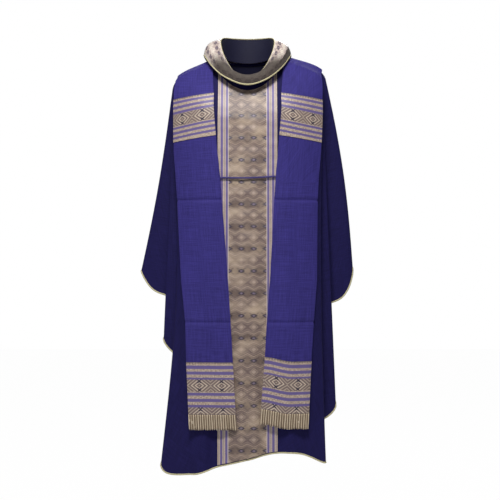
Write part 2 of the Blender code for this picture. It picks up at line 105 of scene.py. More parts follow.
ROLL = [(0.0, -0.098, -0.048), (0.046, -0.086, -0.026), (0.076, -0.056, 0.026),
        (0.088, -0.018, 0.074), (0.080, 0.026, 0.096), (0.045, 0.060, 0.100), (0.0, 0.070, 0.100)]
FALL = [(0.0, -0.134, -0.074), (0.066, -0.119, -0.052), (0.112, -0.082, -0.010),
        (0.141, -0.012, 0.037), (0.130, 0.056, 0.024), (0.074, 0.104, 0.002), (0.0, 0.119, -0.002)]
STAND = [(0.0, -0.080, -0.058), (0.040, -0.070, -0.038), (0.070, -0.046, 0.004),
         (0.088, -0.008, 0.030), (0.080, 0.036, 0.030), (0.046, 0.064, 0.024), (0.0, 0.074, 0.020)]

# Stole edges in front: height, inner edge, outer edge.
STOLE_EDGES = {
    "right": [(-0.140, 0.109, 0.2372), (-0.266, 0.0985, 0.2325), (-0.374, 0.0890, 0.2245),
              (-0.445, 0.0850, 0.2210), (-0.700, 0.0716, 0.2178), (-0.833, 0.0620, 0.2070),
              (-0.954, 0.0560, 0.1990), (-1.154, 0.0410, 0.1890), (-1.22, 0.0400, 0.1880)],
    "left": [(-0.140, 0.109, 0.2337), (-0.266, 0.0985, 0.2330), (-0.374, 0.0870, 0.2260),
             (-0.445, 0.0820, 0.2210), (-0.700, 0.0620, 0.2083), (-0.833, 0.0530, 0.1956),
             (-0.954, 0.0460, 0.1924), (-1.170, 0.0330, 0.1830), (-1.23, 0.0320, 0.1820)],
}
# Over the shoulder and round the back of the neck: inner edge, outer edge.
STOLE_OVER = [((0.109, -0.112, -0.120), (0.236, -0.072, -0.130)),
              ((0.108, -0.080, -0.040), (0.241, -0.050, -0.055)),
              ((0.108, -0.040, 0.018), (0.241, -0.012, -0.012)),
              ((0.110, 0.010, 0.030), (0.236, 0.050, -0.030)),
              ((0.092, 0.058, 0.026), (0.190, 0.115, -0.040)),
              ((0.052, 0.082, 0.022), (0.105, 0.145, -0.075)),
              ((0.000, 0.090, 0.022), (0.000, 0.150, -0.095))]


# ---------------------------------------------------------------- camera, light, stage

def camera():
    """Straight from the front, level with the middle of the garment."""
    cam = bpy.data.cameras.new("camera")
    cam.lens = 93.0
    cam.sensor_width = 36.0
    ob = bpy.data.objects.new("camera", cam)
    ob.location = (0.008, -4.25, -0.604)
    ob.rotation_euler = (math.radians(90), 0, 0)
    bpy.context.scene.collection.objects.link(ob)
    bpy.context.scene.camera = ob


def lamp(name, place, aim, size, power, colour):
    """A soft area lamp."""
    light = bpy.data.lights.new(name, "AREA")
    light.shape = "RECTANGLE"
    light.size, light.size_y = size
    light.energy = power
    light.color = colour
    ob = bpy.data.objects.new(name, light)
    ob.location = place
    ob.rotation_euler = (Vector(aim) - Vector(place)).to_track_quat("-Z", "Y").to_euler()
    bpy.context.scene.collection.objects.link(ob)


def seen_by_eye(nt, light, seen, share, output):
    """Mix two shaders, so that the camera's own rays see the given share of the second."""
    mix = nt.nodes.new("ShaderNodeMixShader")
    path = nt.nodes.new("ShaderNodeLightPath")
    part = nt.nodes.new("ShaderNodeMath")
    part.operation = "MULTIPLY"
    part.inputs[1].default_value = share
    links = ((path.outputs["Is Camera Ray"], part.inputs[0]), (part.outputs[0], mix.inputs[0]),
             (light.outputs[0], mix.inputs[1]), (seen.outputs[0], mix.inputs[2]),
             (mix.outputs[0], nt.nodes[output].inputs[0]))
    for out, into in links:
        nt.links.new(out, into)


def white_paint():
    """Floor paint that stays near white to the eye, with a trace of shade on it."""
    mat = bpy.data.materials.new("floor_paint")
    mat.use_nodes = True
    nt = mat.node_tree
    paint = nt.nodes["Principled BSDF"]
    paint.inputs["Base Color"].default_value = (0.90, 0.90, 0.91, 1)
    paint.inputs["Roughness"].default_value = 0.9
    glow = nt.nodes.new("ShaderNodeEmission")
    glow.inputs[0].default_value = (1, 1, 1, 1)
    seen_by_eye(nt, paint, glow, 0.985, "Material Output")
    return mat


def studio():
    """Pale room: a bright soft key from above and in front, weak light from the sides."""
    lamp("key", (-0.2, -2.0, 2.05), (0, 0, -0.2), (0.9, 0.7), 92, (1.0, 0.985, 0.96))
    lamp("fill_left", (-2.4, -1.8, -0.1), (0, 0, -0.6), (1.2, 1.6), 4, (0.97, 0.98, 1.0))
    lamp("back", (0.4, 2.6, 1.4), (0, 0, -0.4), (1.4, 1.4), 62, (1.0, 1.0, 1.0))
    world = bpy.data.worlds.new("room")
    bpy.context.scene.world = world
    world.use_nodes = True
    nt = world.node_tree
    seen = nt.nodes["Background"]
    seen.inputs[0].default_value = (1.0, 1.0, 1.0, 1.0)
    seen.inputs[1].default_value = 1.0
    light = nt.nodes.new("ShaderNodeBackground")
    light.inputs[0].default_value = (0.93, 0.95, 1.0, 1.0)
    light.inputs[1].default_value = 0.17
    seen_by_eye(nt, light, seen, 1.0, "World Output")
    floor = mesh_object("floor", [(-9, -9, FLOOR_Z), (9, -9, FLOOR_Z), (9, 9, FLOOR_Z), (-9, 9, FLOOR_Z)],
                        [(0, 1, 2, 3)])
    floor.data.materials.append(white_paint())
    bpy.context.scene.view_settings.view_transform = "Standard"


# ---------------------------------------------------------------- mesh helpers

def mesh_object(name, verts, faces, uvs=None):
    """A mesh object, with its own cloth map in metres when uvs are given."""
    me = bpy.data.meshes.new(name)
    me.from_pydata([tuple(map(float, v)) for v in verts], [], faces)
    if uvs is not None:
        layer = me.uv_layers.new(name="cloth")
        index = np.empty(len(me.loops), dtype=np.int32)
        me.loops.foreach_get("vertex_index", index)
        layer.data.foreach_set("uv", np.asarray(uvs, dtype=np.float32)[index].ravel())
    me.polygons.foreach_set("use_smooth", [True] * len(me.polygons))
    me.update()
    ob = bpy.data.objects.new(name, me)
    bpy.context.scene.collection.objects.link(ob)
    return ob


def grid_faces(nr, nc, closed=False):
    """Quads of a grid of nr rows and nc columns."""
    faces = []
    for i in range(nr - 1):
        for j in range(nc if closed else nc - 1):
            a, b = i * nc + j, i * nc + (j + 1) % nc
            faces.append((a, a + nc, b + nc, b))
    return faces


def rim_loops(nr, nc, closed):
    """Indices round the open edges of a grid."""
    top = list(range(nc))
    bottom = [(nr - 1) * nc + j for j in range(nc)]
    if closed:
        return [top, bottom[::-1]]
    left = [i * nc for i in range(nr - 2, 0, -1)]
    right = [i * nc + nc - 1 for i in range(1, nr - 1)]
    return [top + right + bottom[::-1] + left]


def cloth(name, points, thick, material, uv=None, closed=False):
    """A sheet of cloth from a grid of points (rows, columns, 3), with thickness and a cloth map."""
    points = np.asarray(points, dtype=float)
    nr, nc = points.shape[:2]
    total = nr * nc
    uv = (lengths(points) if uv is None else uv).reshape(-1, 2)
    out = normals(points, closed) * thick / 2
    verts = np.concatenate([(points + out).reshape(-1, 3), (points - out).reshape(-1, 3)])
    faces = grid_faces(nr, nc, closed)
    faces += [tuple(total + k for k in f[::-1]) for f in faces]
    edges = set()
    for loop in rim_loops(nr, nc, closed):
        for a, b in zip(loop, loop[1:] + loop[:1]):
            faces.append((a, b, b + total, a + total))
            edges |= {(min(a, b), max(a, b)), (min(a, b) + total, max(a, b) + total)}
    ob = mesh_object(name, verts, faces, np.concatenate([uv, uv]))
    pairs = np.empty(len(ob.data.edges) * 2, dtype=np.int32)
    ob.data.edges.foreach_get("vertices", pairs)
    sharp = [(min(a, b), max(a, b)) in edges for a, b in pairs.reshape(-1, 2).tolist()]
    ob.data.attributes.new("sharp_edge", "BOOLEAN", "EDGE").data.foreach_set("value", sharp)
    ob.data.materials.append(material)
    return ob


def bend(ob, middle, a, b, start, end):
    """Bakes the object's transform while its vertices stand at the given middle points, then puts the
    vertices back.
    """
    real = np.empty(len(ob.data.vertices) * 3)
    ob.data.vertices.foreach_get("co", real)
    ob.data.vertices.foreach_set("co", np.asarray(middle, dtype=float).ravel())
    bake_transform(ob)
    ob.data.vertices.foreach_set("co", real)
    ob.data.update()


def lengths(points):
    """Metres across and down a grid of points, from its middle column and its first row."""
    across = np.linalg.norm(np.diff(points, axis=1), axis=2)
    down = np.linalg.norm(np.diff(points, axis=0), axis=2)
    u = np.concatenate([np.zeros((points.shape[0], 1)), np.cumsum(across, axis=1)], axis=1)
    v = np.concatenate([np.zeros((1, points.shape[1])), np.cumsum(down, axis=0)], axis=0)
    return np.stack([u - u[:, -1:] / 2, -v], axis=2)


def tube(name, path, radius, material, sides=8, twist=0.0, lay=0.0, closed=False):
    """A round cord along a path as a mesh; lay and twist give it the relief of a laid rope."""
    path = np.asarray(path, dtype=float)
    n = len(path)
    if closed:
        tangent = np.roll(path, -1, axis=0) - np.roll(path, 1, axis=0)
    else:
        tangent = np.gradient(path, axis=0)
    tangent /= np.linalg.norm(tangent, axis=1)[:, None]
    side = np.cross(tangent[0], (0.0, 0.3, 1.0))
    step = np.linalg.norm(np.diff(path, axis=0, append=path[-1:]), axis=1)
    run = np.concatenate([[0.0], np.cumsum(step)[:-1]])
    verts, uvs = [], []
    for i in range(n):
        side = side - tangent[i] * np.dot(side, tangent[i])
        side /= np.linalg.norm(side)
        up = np.cross(tangent[i], side)
        for k in range(sides):
            a = 2 * math.pi * k / sides
            r = radius * (1 + lay * math.cos(3 * a + twist * run[i]))
            verts.append(path[i] + r * (math.cos(a) * side + math.sin(a) * up))
            uvs.append((k / sides * 2 * math.pi * radius, run[i]))
    faces = []
    for i in range(n if closed else n - 1):
        j = (i + 1) % n
        for k in range(sides):
            m = (k + 1) % sides
            faces.append((i * sides + k, i * sides + m, j * sides + m, j * sides + k))
    if not closed:
        faces.append(tuple(range(sides))[::-1])
        faces.append(tuple((n - 1) * sides + k for k in range(sides)))
    ob = mesh_object(name, verts, faces, uvs)
    ob.data.materials.append(material)
    return ob


# ---------------------------------------------------------------- drape

def station(row, side, back):
    """One station as twelve numbers: neck, turn, hem, bow."""
    sx, sy = SIDES[side], -1.0 if back else 1.0
    neck, turn, hem = (np.array(p) for p in row[:3])
    if back:
        lift = math.cos(min(1.0, abs(turn[0]) / 0.24) * math.pi / 2)
        neck = neck + np.array((0.0, 0.004, 0.085)) * lift
        turn = turn + np.array((0.0, -0.004, 0.050)) * lift
    flip = np.array((sx, sy, 1.0))
    return np.concatenate([neck * flip, turn * flip, hem * flip, (row[3] * sx, 0.0, 0.0)])


def ring():
    """All stations round the garment: front centre, right, back centre, left."""
    rows = [station(r, "right", False) for r in RIGHT]
    rows += [station(r, "right", True) for r in RIGHT[-2::-1]]
    rows += [station(r, "left", True) for r in LEFT[1:]]
    rows += [station(r, "left", False) for r in LEFT[-2:0:-1]]
    return np.array(rows)


def smooth_curve(rows, t, closed=False):
    """Points at t on a smooth curve through the rows, for an array t."""
    rows = np.asarray(rows, dtype=float)
    n = len(rows)
    t = np.asarray(t, dtype=float)
    i = np.floor(t).astype(int)
    if not closed:
        i = np.clip(i, 0, n - 2)
    f = (t - i)[..., None]
    pick = [(i + k) % n if closed else np.clip(i + k, 0, n - 1) for k in (-1, 0, 1, 2)]
    a, b, c, d = (rows[k] for k in pick)
    return 0.5 * (2 * b + (c - a) * f + (2 * a - 5 * b + 4 * c - d) * f ** 2
                  + (3 * b - a - 3 * c + d) * f ** 3)


STATIONS = ring()


def drape(u, v):
    """Middle of the cloth on the grid of u (stations round the garment) and v (neck to hem)."""
    row = smooth_curve(STATIONS, np.asarray(u) % RING, closed=True)[None, :, :]
    neck, turn, hem, bow = row[..., :3], row[..., 3:6], row[..., 6:9], row[..., 9:12]
    v = np.asarray(v)[:, None, None]
    down = hem - turn
    t = np.clip((v - TURN) / (1.0 - TURN), 0, 1)
    hanging = turn + down * t + bow * np.sin(math.pi * t)
    reach = np.linalg.norm(turn - neck, axis=2, keepdims=True)
    out = (turn - neck) / reach
    first = neck + out * 0.35 * reach
    second = turn - down / np.linalg.norm(down, axis=2, keepdims=True) * 0.34 * reach
    t = np.clip(v / TURN, 0, 1)
    s = 1.0 - t
    over = neck * s ** 3 + 3 * first * s * s * t + 3 * second * s * t * t + turn * t ** 3
    return np.where(v >= TURN, hanging, over)


def ripple(u, v):
    """Soft folds in the hanging cloth: depth of the fold at each point, growing towards the hem."""
    u = np.asarray(u)[None, :]
    v = np.asarray(v)[:, None]
    t = np.clip((v - 0.30) / 0.70, 0, 1)
    near_edge = 0.35 + 0.65 * np.clip(1.4 - np.abs(((u + 8) % 16) - 8) / 3.2, 0, 1)
    wander = 0.25 * np.sin(2.1 * t + 0.7 * u)
    wide = np.sin(2 * math.pi * (u + wander) / 1.42 + 0.6) * 0.0062
    mid = np.sin(2 * math.pi * (u - wander) / 0.83 + 2.1) * 0.0026
    fine = np.sin(2 * math.pi * (u + 0.6 * wander) / 0.37 + 1.0) * 0.0008
    body = (wide + mid) * t ** 1.3 + fine * t ** 0.6
    pull = np.sin(2 * math.pi * (u + 0.12) / 1.15) * 0.0012 * np.exp(-((v - 0.27) / 0.12) ** 2)
    return (body + pull) * near_edge


def normals(points, closed=False):
    """Outward unit normals of a grid of points."""
    if closed:
        wide = np.concatenate([points[:, -1:], points, points[:, :1]], axis=1)
        across = (wide[:, 2:] - wide[:, :-2]) / 2
    else:
        across = np.gradient(points, axis=1)
    n = np.cross(np.gradient(points, axis=0), across)
    return n / np.maximum(np.linalg.norm(n, axis=2, keepdims=True), 1e-12)


def garment(u, v):
    """The finished cloth: drape with its soft folds; neighbouring pieces meet exactly."""
    step = u[1] - u[0]
    wide = np.concatenate([[u[0] - step], u, [u[-1] + step]])
    points = drape(wide, v)
    points = points + normals(points) * ripple(wide, v)[..., None]
    return points[:, 1:-1]


# ---------------------------------------------------------------- materials

class Shader:
    """A Principled material with short calls for the nodes that feed it."""

    def __init__(self, name, roughness, specular=0.5, sheen=0.0, sheen_tint=(1, 1, 1), sheen_rough=0.5):
        self.mat = bpy.data.materials.new(name)
        self.mat.use_nodes = True
        self.nt = self.mat.node_tree
        self.main = self.nt.nodes["Principled BSDF"]
        self.main.inputs["Roughness"].default_value = roughness
        self.main.inputs["Specular IOR Level"].default_value = specular
        self.main.inputs["Sheen Weight"].default_value = sheen
        self.main.inputs["Sheen Roughness"].default_value = sheen_rough
        self.main.inputs["Sheen Tint"].default_value = (*sheen_tint, 1.0)

    def node(self, kind, **settings):
        made = self.nt.nodes.new(kind)
        for key, value in settings.items():
            setattr(made, key, value)
        return made

    def put(self, socket, value):
        """Links or sets one input."""
        if isinstance(value, bpy.types.NodeSocket):
            self.nt.links.new(value, socket)
        elif isinstance(value, tuple) and len(value) == 3 and socket.type == "RGBA":
            socket.default_value = (*value, 1.0)
        else:
            socket.default_value = value

    def calc(self, operation, a, b=0.0, c=0.0):
        made = self.node("ShaderNodeMath", operation=operation)
        for socket, value in zip(made.inputs, (a, b, c)):
            self.put(socket, value)
        return made.outputs[0]

    def times(self, a, b):
        return self.calc("MULTIPLY", a, b)

    def plus(self, a, b):
        return self.calc("ADD", a, b)

    def minus(self, a, b):
        return self.calc("SUBTRACT", a, b)

    def over(self, a, b):
        return self.calc("DIVIDE", a, b)

    def below(self, a, b):
        return self.calc("LESS_THAN", a, b)

    def above(self, a, b):
        return self.calc("GREATER_THAN", a, b)

    def larger(self, a, b):
        return self.calc("MAXIMUM", a, b)

    def fold(self, a, b):
        return self.calc("PINGPONG", a, b)

    def size(self, a):
        return self.calc("ABSOLUTE", a)

    def mix(self, factor, a, b):
        made = self.node("ShaderNodeMix", data_type="RGBA")
        self.put(made.inputs[0], factor)
        self.put(made.inputs[6], a)
        self.put(made.inputs[7], b)
        return made.outputs[2]

    def cloth_map(self):
        """Metres across and down the piece."""
        pin = self.node("ShaderNodeUVMap", uv_map="cloth")
        split = self.node("ShaderNodeSeparateXYZ")
        self.nt.links.new(pin.outputs[0], split.inputs[0])
        return split.outputs[0], self.calc("MULTIPLY", split.outputs[1], -1.0), pin.outputs[0]

    def place(self):
        """The point in the row frame at rest."""
        return self.node("ShaderNodeTexCoord").outputs["Object"]

    def noise(self, vector, scale, detail):
        made = self.node("ShaderNodeTexNoise")
        self.put(made.inputs["Vector"], vector)
        made.inputs["Scale"].default_value = scale
        made.inputs["Detail"].default_value = detail
        return made.outputs[0]

    def streaks(self, flat, across, down, detail):
        """Noise with its own scale across and down the cloth."""
        made = self.node("ShaderNodeMapping")
        self.put(made.inputs[0], flat)
        made.inputs[3].default_value = (across, down, 1.0)
        return self.noise(made.outputs[0], 1.0, detail)

    def rise(self, x, start, end):
        """0 to 1, smoothly, as x goes from start to end."""
        made = self.node("ShaderNodeMapRange", interpolation_type="SMOOTHSTEP")
        self.put(made.inputs[0], x)
        made.inputs[1].default_value = start
        made.inputs[2].default_value = end
        return made.outputs[0]

    def between(self, x, low, high):
        """1 where x lies between the two values."""
        return self.calc("COMPARE", x, (low + high) / 2, (high - low) / 2)

    def weave(self, u, v, pitch):
        """Over-and-under relief of a plain weave."""
        a = self.calc("SINE", self.calc("MULTIPLY", u, 2 * math.pi / pitch))
        b = self.calc("SINE", self.calc("MULTIPLY", v, 2 * math.pi / pitch))
        return self.calc("MULTIPLY", a, b)

    def ramp(self, x, stops):
        """Colour steps along x, which runs from 0 to 1."""
        made = self.node("ShaderNodeValToRGB")
        self.put(made.inputs[0], x)
        ramp = made.color_ramp
        ramp.interpolation = "CONSTANT"
        while len(ramp.elements) < len(stops):
            ramp.elements.new(0.5)
        for element, (at, colour) in zip(ramp.elements, stops):
            element.position = at
            element.color = (*colour, 1.0)
        return made.outputs[0]

    def finish(self, colour, height, strength, distance, rough=None):
        self.put(self.main.inputs["Base Color"], colour)
        if rough is not None:
            self.put(self.main.inputs["Roughness"], rough)
        bump = self.node("ShaderNodeBump")
        bump.inputs["Strength"].default_value = strength
        bump.inputs["Distance"].default_value = distance
        self.put(bump.inputs["Height"], height)
        self.nt.links.new(bump.outputs[0], self.main.inputs["Normal"])
        return self.mat


PURPLE = (0.0300, 0.0240, 0.1480)
# The stole's purple darkened: painted shade, standing for the shade on the chasuble's own wool.
PURPLE_IN_SHADE = (0.0096, 0.0078, 0.0555)
VIOLET = (0.140, 0.105, 0.310)
CREAM = (0.780, 0.680, 0.540)
MAUVE = (0.140, 0.092, 0.108)
BEIGE = (0.215, 0.146, 0.110)
INK = (0.018, 0.012, 0.040)
PALE_GOLD = (0.720, 0.660, 0.400)
NAVY = (0.006, 0.006, 0.022)


def wool(name, hue, sheen):
    """Fine violet-blue wool: plain weave, faint slubs, a soft cool sheen."""
    s = Shader(name, 0.72, 0.14, sheen, (0.42, 0.36, 1.0), 0.45)
    u, v, flat = s.cloth_map()
    cloud = s.noise(s.place(), 5.0, 3.0)
    slub_a = s.streaks(flat, 330.0, 15.0, 3.0)
    slub_b = s.streaks(flat, 15.0, 330.0, 3.0)
    dark = tuple(c * 0.80 for c in hue)
    light = tuple(c * 1.22 for c in hue)
    colour = s.mix(cloud, dark, light)
    threads = s.plus(slub_a, slub_b)
    grain = s.above(s.streaks(flat, 420.0, 260.0, 1.0), 0.56)
    colour = s.mix(s.times(grain, 0.22), colour, tuple(c * 2.0 for c in hue))
    slubs = s.calc("MULTIPLY_ADD", threads, 1.7, -1.25)
    colour = s.mix(slubs, colour, tuple(c * 1.75 for c in hue))
    height = s.plus(s.weave(u, v, 0.0009), s.times(threads, 1.2))
    return s.finish(colour, height, 0.35, 0.00025, s.calc("MULTIPLY_ADD", cloud, 0.16, 0.62))


def glitter(s, flat, colour, amount, scale=430.0):
    """Scattered pale and dark threads, as where metal thread catches the light."""
    speck = s.noise(flat, scale, 1.0)
    colour = s.mix(s.times(s.above(speck, 0.60), amount), colour, CREAM)
    return s.mix(s.times(s.below(speck, 0.40), amount), colour, (0.10, 0.07, 0.10))


def thread_ground(s, v, flat, colour_a, colour_b, rib=0.0016):
    """Ribbed brocade ground in two thread colours, with painted shade in the grooves between the ribs, and
    its relief.
    """
    ribs = s.fold(v, rib / 2)
    ribs = s.times(ribs, 2 / rib)
    fleck = s.streaks(flat, 700.0, 420.0, 1.0)
    patch = s.noise(flat, 26.0, 2.0)
    mixed = s.plus(s.times(fleck, 0.75), s.times(patch, 0.55))
    mixed = s.minus(mixed, 0.18)
    ground = s.mix(mixed, colour_a, colour_b)
    # Painted shade: darker in the grooves between the ribs.
    ground = s.mix(s.times(ribs, 0.30), ground, tuple(0.45 * c for c in colour_a))
    relief = s.plus(s.times(ribs, -0.8), fleck)
    return ground, relief


def figures(s, u, v, ground, wide, high, shift, cream=CREAM, dark=INK):
    """Rows of light diamonds and of dark crossed figures, with thin zigzags between the rows."""
    du = s.fold(s.plus(u, shift), wide / 2)
    dv = s.fold(v, high / 2)
    gap = s.minus(high / 2, dv)
    slant = s.minus(gap, s.times(du, 0.52))
    zig = s.calc("COMPARE", slant, 0.0125, 0.0010)
    zag = s.calc("COMPARE", slant, 0.0075, 0.0008)
    far = s.calc("COMPARE", slant, 0.0185, 0.0008)
    lines = s.larger(zig, s.times(s.larger(zag, far), 0.55))
    lozenge = s.plus(s.over(du, 0.0082), s.over(dv, 0.0072))
    light = s.below(lozenge, 1.0)
    ring = s.between(lozenge, 1.35, 1.75)
    knot = s.plus(s.over(du, 0.0125), s.over(gap, 0.0070))
    core = s.plus(s.over(du, 0.0052), s.over(gap, 0.0034))
    legs = s.size(s.minus(s.times(du, 0.62), gap))
    legs = s.times(s.below(legs, 0.0010), s.below(du, 0.0150))
    colour = s.mix(s.times(lines, 0.78), ground, cream)
    colour = s.mix(s.times(ring, 0.50), colour, cream)
    colour = s.mix(s.times(light, 0.62), colour, cream)
    colour = s.mix(s.times(s.below(knot, 1.0), 0.90), colour, dark)
    colour = s.mix(s.times(legs, 0.60), colour, dark)
    colour = s.mix(s.times(s.below(core, 1.0), 0.60), colour, (0.33, 0.25, 0.36))
    relief = s.plus(s.times(light, 1.0), s.times(lines, 0.8))
    return colour, relief


def orphrey_brocade():
    """The wide column: mauve and old gold by turns, with diamonds, crosses and zigzags."""
    s = Shader("orphrey_brocade", 0.40, 0.6, 0.06, (1.0, 0.92, 0.80))
    u, v, flat = s.cloth_map()
    ground, relief = thread_ground(s, v, flat, MAUVE, BEIGE)
    turn = s.over(s.fold(v, 0.0353), 0.0353)
    ground = s.mix(s.times(turn, 0.45), ground, (0.135, 0.088, 0.052))
    # Painted highlight: pale gold patches where light would catch the brocade.
    painted_highlight = s.minus(s.streaks(flat, 11.0, 17.0, 4.0), 0.46)
    ground = s.mix(s.larger(s.times(painted_highlight, 2.4), 0.0), ground, (0.70, 0.54, 0.38))
    colour, raised = figures(s, u, v, ground, 0.0390, 0.0706, 0.0195, (0.62, 0.48, 0.38))
    colour = glitter(s, flat, colour, 0.26, 520.0)
    height = s.plus(relief, raised)
    return s.finish(colour, height, 0.45, 0.0004, s.calc("MULTIPLY_ADD", relief, 0.06, 0.40))


def collar_brocade():
    """The same cloth in a smaller figure; painted shade darkens it in front, and its lower half is dark on
    the right.
    """
    s = Shader("collar_brocade", 0.38, 0.7, 0.08, (1.0, 0.92, 0.85))
    u, v, flat = s.cloth_map()
    ground, relief = thread_ground(s, v, flat, (0.42, 0.30, 0.31), (0.95, 0.82, 0.72))
    colour, raised = figures(s, u, v, ground, 0.0280, 0.0340, 0.0, (0.95, 0.88, 0.76), (0.05, 0.035, 0.06))
    colour = glitter(s, flat, colour, 0.50, 300.0)
    split = s.node("ShaderNodeSeparateXYZ")
    s.put(split.inputs[0], s.place())
    # Painted shade: the collar is darkened where it comes forward, in front.
    front = s.rise(split.outputs[1], -0.052, -0.100)
    # On the right the lower half is darkened too.
    right = s.rise(split.outputs[0], 0.015, 0.085)
    below = s.above(v, 0.047)
    painted_shade_and_band = s.larger(front, s.times(right, below))
    shade = s.mix(s.noise(flat, 300.0, 1.0), (0.006, 0.004, 0.003), (0.050, 0.032, 0.022))
    # Lays the painted shade over the brocade.
    colour = s.mix(s.times(painted_shade_and_band, 0.93), colour, shade)
    rough = s.calc("MULTIPLY_ADD", painted_shade_and_band, 0.50, 0.38)
    return s.finish(colour, s.plus(relief, raised), 0.45, 0.0004, rough)


def striped_braid(name, flip):
    """Gold, violet, gold, violet from the outer edge in, with a speckle of cream in the gold."""
    s = Shader(name, 0.48, 0.5, 0.06, (1.0, 0.95, 0.9))
    u, v, flat = s.cloth_map()
    x = s.calc("MULTIPLY_ADD", u, flip / BRAID, 0.5)
    gold, _ = thread_ground(s, v, flat, (0.46, 0.35, 0.29), (0.74, 0.62, 0.52), 0.0022)
    violet, _ = thread_ground(s, v, flat, VIOLET, (0.20, 0.16, 0.38), 0.0018)
    on = s.larger(s.between(x, -0.1, 0.27), s.between(x, 0.48, 0.74))
    colour = s.mix(on, violet, glitter(s, flat, gold, 0.35))
    edge = s.larger(s.between(x, 0.10, 0.14), s.between(x, 0.590, 0.630))
    colour = s.mix(s.times(edge, 0.55), colour, (0.09, 0.06, 0.14))
    colour = s.mix(s.times(s.between(x, 0.93, 1.1), 0.7), colour, CREAM)
    height = s.plus(s.times(on, 1.5), s.noise(flat, 900.0, 1.0))
    return s.finish(colour, height, 0.4, 0.0004)


def stole_band(name, tall, edges, motifs):
    """Stripes of gold and violet across the stole, and figured rows of nested diamonds."""
    s = Shader(name, 0.46, 0.5, 0.06, (1.0, 0.95, 0.9))
    u, v, flat = s.cloth_map()
    gold, relief = thread_ground(s, v, flat, (0.38, 0.28, 0.22), (0.66, 0.53, 0.42), 0.0020)
    gold = glitter(s, flat, gold, 0.50, 240.0)
    violet, _ = thread_ground(s, v, flat, VIOLET, (0.17, 0.13, 0.34), 0.0018)
    steps = [(0.0, (1, 1, 1))] + [(at / tall, (k % 2,) * 3) for k, at in enumerate(edges)]
    steps = s.ramp(s.over(v, tall), steps)
    colour = s.mix(steps, violet, gold)
    du = s.size(s.minus(s.fold(u, 0.0740), 0.0355))
    teeth = s.times(s.fold(u, 0.0045), 1.2)
    edge = s.below(s.plus(teeth, v), 0.0062)
    colour = s.mix(s.times(edge, 0.65), colour, INK)
    for low, high, middle in motifs:
        here = s.between(v, low, high)
        dv = s.size(s.minus(v, middle))
        fleck = s.streaks(flat, 400.0, 500.0, 1.0)
        fill = s.mix(fleck, (0.100, 0.066, 0.072), (0.30, 0.22, 0.19))
        lines = s.plus(s.times(du, 0.80), dv)
        strokes = s.below(s.fold(lines, 0.0050), 0.0018)
        near = s.below(lines, 0.0260)
        strokes = s.times(strokes, s.calc("MULTIPLY_ADD", near, 0.40, 0.55))
        fill = s.mix(strokes, fill, (0.66, 0.56, 0.45))
        tip = s.minus(middle - low, dv)
        legs = s.size(s.minus(du, s.size(s.minus(tip, 0.0055))))
        cross = s.times(s.below(legs, 0.0027), s.below(tip, 0.0112))
        fill = s.mix(s.times(cross, 0.92), fill, INK)
        colour = s.mix(here, colour, fill)
    height = s.plus(relief, s.times(steps, 1.2))
    return s.finish(colour, height, 0.4, 0.0004)


def end_band():
    """End band of the stole. Each edge, in metres down from the top, turns gold to violet or back."""
    edges = (0.0095, 0.0207, 0.0286, 0.0380, 0.0477, 0.0540, 0.0955, 0.1040, 0.1145, 0.1240, 0.1335, 0.1415)
    return stole_band("stole_end_band", END_H, edges, [(0.0540, 0.0920, 0.0730), (0.1415, 0.1850, 0.1632)])


def chest_band():
    """Chest band: the same stripes about one figured row."""
    edges = (0.0085, 0.0165, 0.0250, 0.0335, 0.0420, 0.0500, 0.0920, 0.0990, 0.1070, 0.1150, 0.1230, 0.1300)
    return stole_band("stole_chest_band", CHEST_H, edges, [(0.0510, 0.0890, 0.0700)])


def fringe_thread():
    """Fringe: pale and brown threads by turns, twisted along their length."""
    s = Shader("gold_fringe", 0.6, 0.4, 0.06)
    u, v, _ = s.cloth_map()
    turn = s.fold(s.plus(u, s.times(s.noise(s.place(), 30.0, 1.0), 0.0008)), 0.0036)
    pale = s.mix(s.noise(s.place(), 600.0, 1.0), (0.60, 0.48, 0.35), (0.86, 0.74, 0.58))
    brown = s.mix(s.noise(s.place(), 600.0, 1.0), (0.10, 0.065, 0.045), (0.36, 0.27, 0.17))
    colour = s.mix(s.above(turn, 0.0019), brown, pale)
    twist = s.fold(s.plus(v, u), 0.0012)
    return s.finish(colour, s.times(twist, 800.0), 0.5, 0.0003)


def cord_thread(name, colour, light, pitch=0.0030, rough=0.55):
    """Twisted cord: slanting strands along its length, with painted shade in the grooves between them."""
    s = Shader(name, rough, 0.5, 0.1)
    u, v, _ = s.cloth_map()
    slant = s.fold(s.plus(v, s.times(u, 0.9)), pitch / 2)
    slant = s.times(slant, 2 / pitch)
    fleck = s.noise(s.place(), 900.0, 1.0)
    # Painted shade and highlight: strands lighter on their crests and darker in the grooves between them; the
    # flecks are random tone.
    mixed = s.mix(s.calc("MULTIPLY_ADD", fleck, 0.4, s.times(slant, 0.6)), colour, light)
    return s.finish(mixed, slant, 0.6, 0.0004)


def lining():
    """Dark navy satin inside the collar."""
    s = Shader("navy_lining", 0.42, 0.4, 0.05)
    _, _, flat = s.cloth_map()
    streak = s.streaks(flat, 60.0, 900.0, 2.0)
    return s.finish(s.mix(streak, NAVY, (0.020, 0.020, 0.055)), streak, 0.2, 0.0002)


# ---------------------------------------------------------------- pieces

def sew(piece, body, node):
    """Carry a piece on one body, in place of its CAD node."""
    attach(piece, body)
    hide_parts(node)


